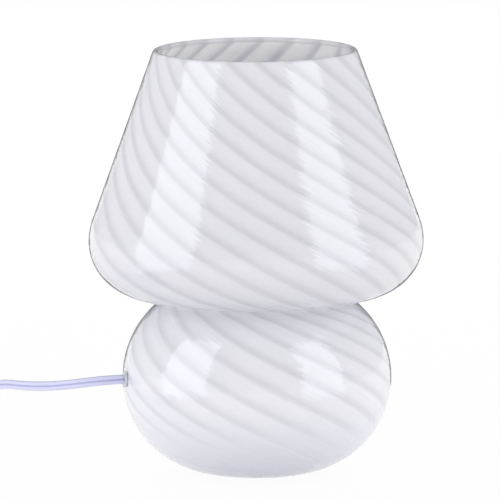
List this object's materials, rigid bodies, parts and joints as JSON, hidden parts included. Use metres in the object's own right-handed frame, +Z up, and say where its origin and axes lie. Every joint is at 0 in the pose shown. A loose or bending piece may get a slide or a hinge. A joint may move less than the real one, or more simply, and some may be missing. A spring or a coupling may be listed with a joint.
{
  "type": "table lamp",
  "caption": "Mushroom table lamp: one swirled opal glass shade and base on a hidden lampholder plate, with a flat cord, inline rocker switch and two-pin plug.",
  "frame": {"origin": "on the table under the lamp's axis, at the middle of the foot pads", "axes": "+Z up along the lamp's axis, -Y towards the front, +X to the right as seen from the front; the cord leaves towards -X"},
  "size_m": [0.339, 0.2232, 0.236],
  "materials": {
    "opal_glass": "blown, fire-polished, milk-white bands between soft grey lines",
    "clear_silicone": "clear moulded",
    "white_silicone": "satin moulded",
    "painted_steel": "white powder coat",
    "spring_steel": "rolled",
    "zinc_steel": "bright zinc plate",
    "aluminium": "plain",
    "brass": "stamped",
    "nickel_brass": "nickel plated, rolled thread",
    "white_plastic": "moulded",
    "phenolic": "moulded",
    "bulb_diffuser": "frosted",
    "led_phosphor": "phosphor",
    "potting": "cast",
    "black_glaze": "glazed",
    "cord_pvc": "extruded, lavender white",
    "white_abs": "moulded",
    "plug_pvc": "overmoulded"
  },
  "bodies": {
    "lamp": {"glass_body": "opal_glass", "foot_pads": "clear_silicone", "cord_grommet": "clear_silicone", "neck_gasket": "white_silicone", "holder_plate": "painted_steel", "retaining_springs": "spring_steel", "spring_tips": "white_silicone", "spring_rivets": "aluminium", "threaded_nipple": "zinc_steel", "nipple_washers": "zinc_steel", "nipple_nut": "brass", "socket_cap": "white_plastic", "socket_body": "white_plastic", "socket_insulator": "phenolic", "screw_shell": "nickel_brass", "centre_contact": "brass", "terminal_plates": "brass", "terminal_screws": "brass", "cord_grip": "white_plastic", "inner_cord": "cord_pvc", "conductor_wires": "cord_pvc", "cord_lead": "cord_pvc", "switch_bottom": "white_abs", "switch_top": "white_abs", "switch_pin": "zinc_steel", "switch_contacts": "brass", "switch_wires": "cord_pvc", "switch_screws": "zinc_steel", "cord_coil": "cord_pvc", "plug_body": "plug_pvc", "plug_blades": "brass"},
    "bulb": {"bulb_globe": "bulb_diffuser", "bulb_housing": "white_plastic", "led_board": "aluminium", "led_chips": "led_phosphor", "driver_capsule": "potting", "bulb_screw_cap": "nickel_brass", "bulb_insulator": "black_glaze", "bulb_contact": "brass"},
    "rocker": {"switch_rocker": "white_abs"}
  },
  "joints": [
    {"name": "bulb_unscrew", "type": "slide", "parent": "lamp", "child": "bulb", "axis": [0, 0, 1], "range_m": [0, 0.024]},
    {"name": "rocker_tilt", "type": "hinge", "parent": "lamp", "child": "rocker", "pos_m": [-0.2345, 0.014, 0.0102], "axis": [-1, 0, 0], "range_deg": [0, 16]}
  ]
}
